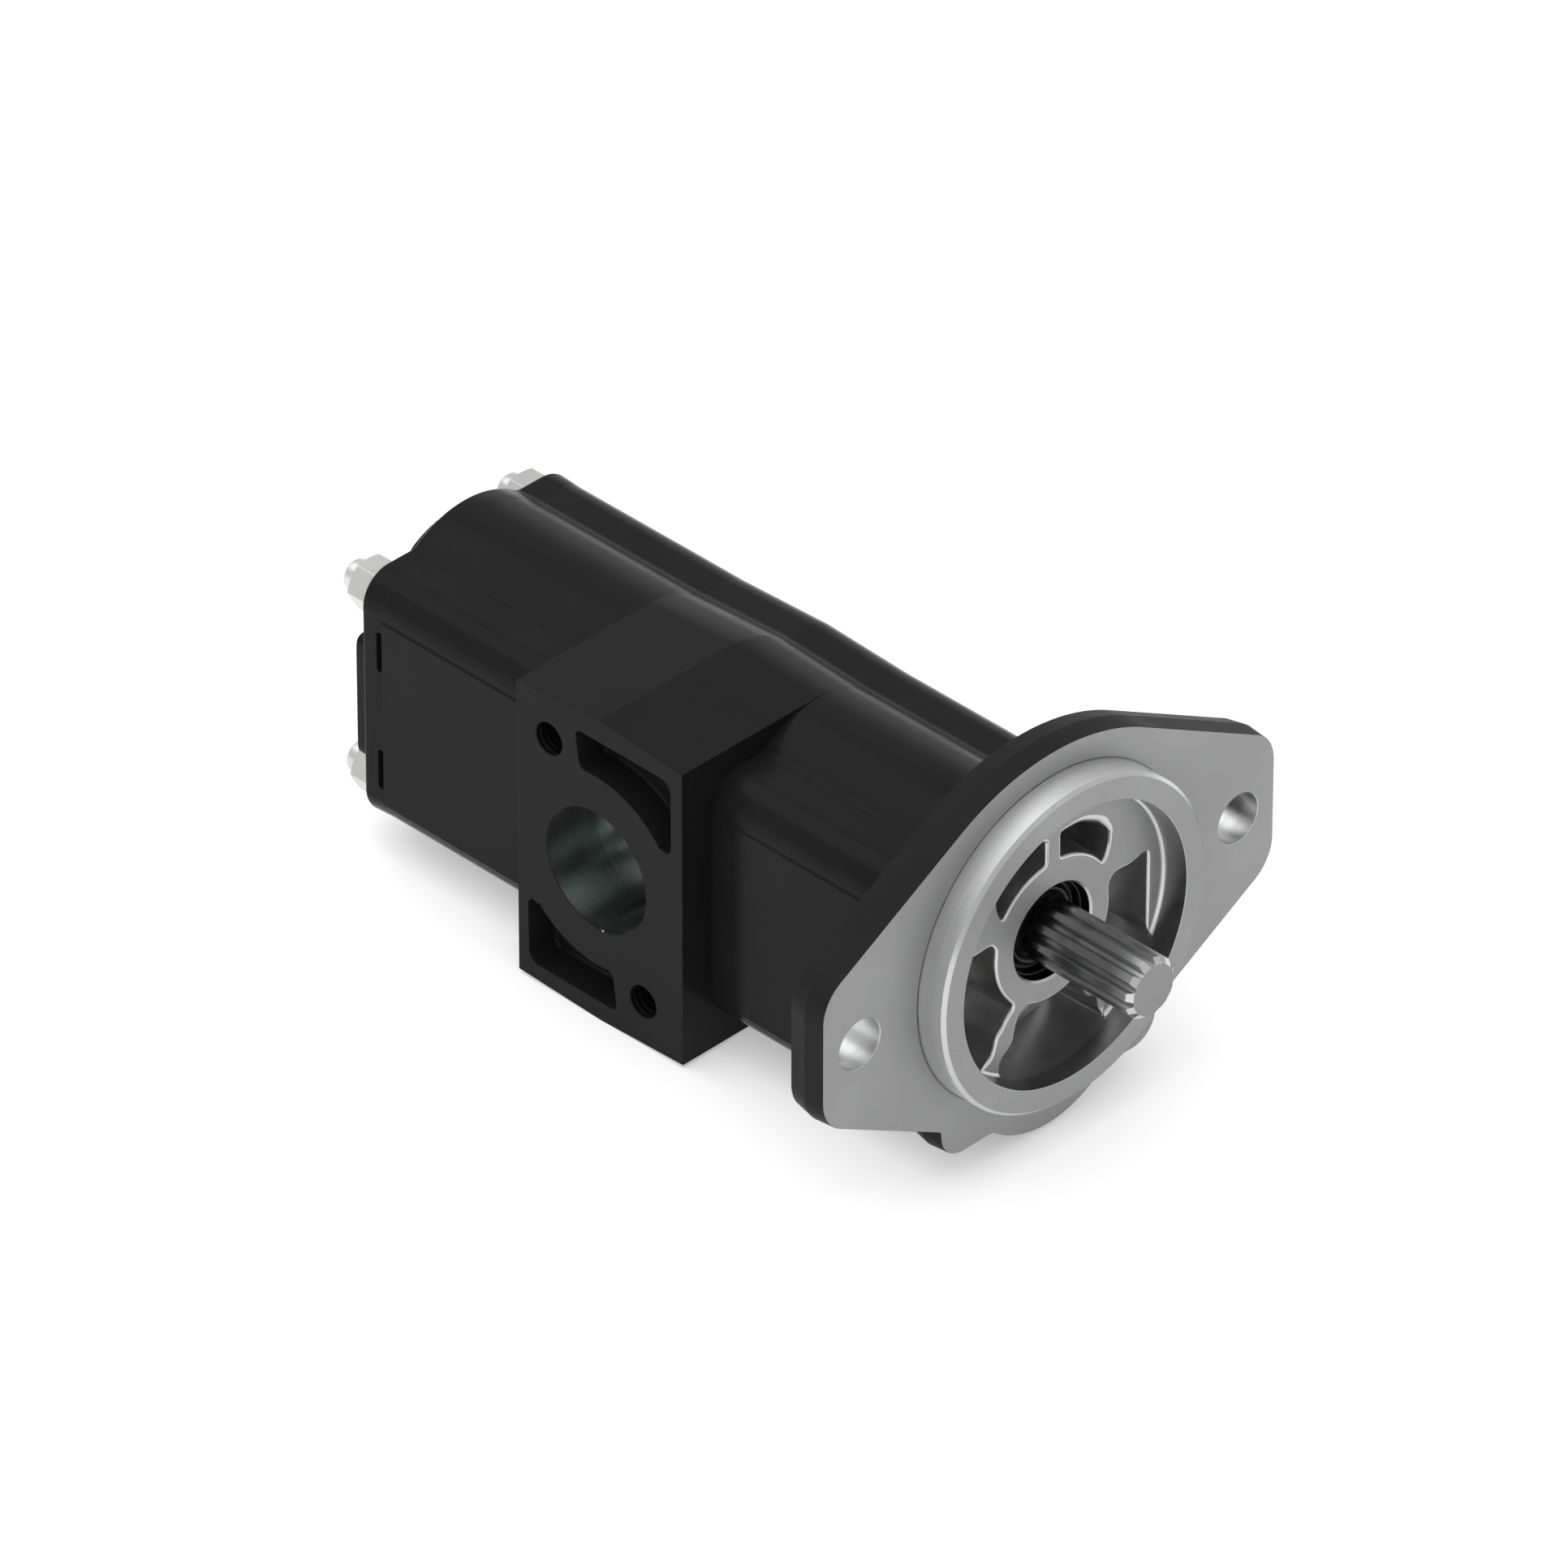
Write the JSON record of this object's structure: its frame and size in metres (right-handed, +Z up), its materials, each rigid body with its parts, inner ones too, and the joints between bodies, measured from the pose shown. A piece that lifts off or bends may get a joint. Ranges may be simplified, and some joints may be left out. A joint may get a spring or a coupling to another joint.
{
  "type": "hydraulic gear pump",
  "caption": "Tandem hydraulic gear pump: gear housings either side of a port block, an oval bolt flange with a pilot ring, and a splined drive shaft.",
  "frame": {"origin": "on the surface that the pump stands on, under the centre of its bounding box; the drive shaft axis is 65.85 mm above it and the mounting face is 100.1 mm in front of it", "axes": "+X along the drive shaft towards its splined end, +Y away from the inlet port face, +Z up, from the driven gears to the drive gears"},
  "size_m": [0.2768, 0.175, 0.1251],
  "materials": {
    "machined_iron": "fine machined face, cast pockets, black painted edge and back",
    "black_paint": "semi-gloss black enamel over a cast surface",
    "zinc_steel": "pale zinc plate",
    "shaft_steel": "hobbed and ground steel",
    "gear_steel": "ground steel",
    "bearing_aluminium": "machined aluminium",
    "bearing_bronze": "bronze faced steel",
    "dowel_steel": "ground steel",
    "seal_rubber": "moulded nitrile rubber"
  },
  "bodies": {
    "pump_body": {"shaft_end_cover": "machined_iron", "front_gear_housing": "black_paint", "port_block": "black_paint", "rear_gear_housing": "black_paint", "rear_cover": "black_paint", "shaft_seal": "seal_rubber", "front_bearing_block_1": "bearing_aluminium", "front_wear_plate_1": "bearing_bronze", "front_seal_1": "seal_rubber", "front_bearing_block_2": "bearing_aluminium", "front_wear_plate_2": "bearing_bronze", "front_seal_2": "seal_rubber", "rear_bearing_block_1": "bearing_aluminium", "rear_wear_plate_1": "bearing_bronze", "rear_seal_1": "seal_rubber", "rear_bearing_block_2": "bearing_aluminium", "rear_wear_plate_2": "bearing_bronze", "rear_seal_2": "seal_rubber", "tie_stud_1": "zinc_steel", "tie_nut_1": "zinc_steel", "tie_stud_2": "zinc_steel", "tie_nut_2": "zinc_steel", "tie_stud_3": "zinc_steel", "tie_nut_3": "zinc_steel", "tie_stud_4": "zinc_steel", "tie_nut_4": "zinc_steel", "dowel_1_left": "dowel_steel", "dowel_1_right": "dowel_steel", "dowel_2_left": "dowel_steel", "dowel_2_right": "dowel_steel", "dowel_3_left": "dowel_steel", "dowel_3_right": "dowel_steel", "dowel_4_left": "dowel_steel", "dowel_4_right": "dowel_steel"},
    "drive_train": {"drive_shaft": "shaft_steel", "coupling_shaft": "shaft_steel", "rear_drive_gear": "gear_steel"},
    "front_driven": {"front_driven_gear": "gear_steel"},
    "rear_driven": {"rear_driven_gear": "gear_steel"}
  },
  "joints": [
    {"name": "drive_spin", "type": "hinge", "parent": "pump_body", "child": "drive_train", "pos_m": [0.1001, 0, 0.06585], "axis": [1, 0, 0], "continuous": true},
    {"name": "front_driven_spin", "type": "hinge", "parent": "pump_body", "child": "front_driven", "pos_m": [0.0433, 0, 0.03335], "axis": [1, 0, 0], "continuous": true},
    {"name": "rear_driven_spin", "type": "hinge", "parent": "pump_body", "child": "rear_driven", "pos_m": [-0.0847, 0, 0.03335], "axis": [1, 0, 0], "continuous": true}
  ],
  "couplings": [
    {"joint": "front_driven_spin", "follows": "drive_spin", "ratio": -1},
    {"joint": "rear_driven_spin", "follows": "drive_spin", "ratio": -1}
  ]
}
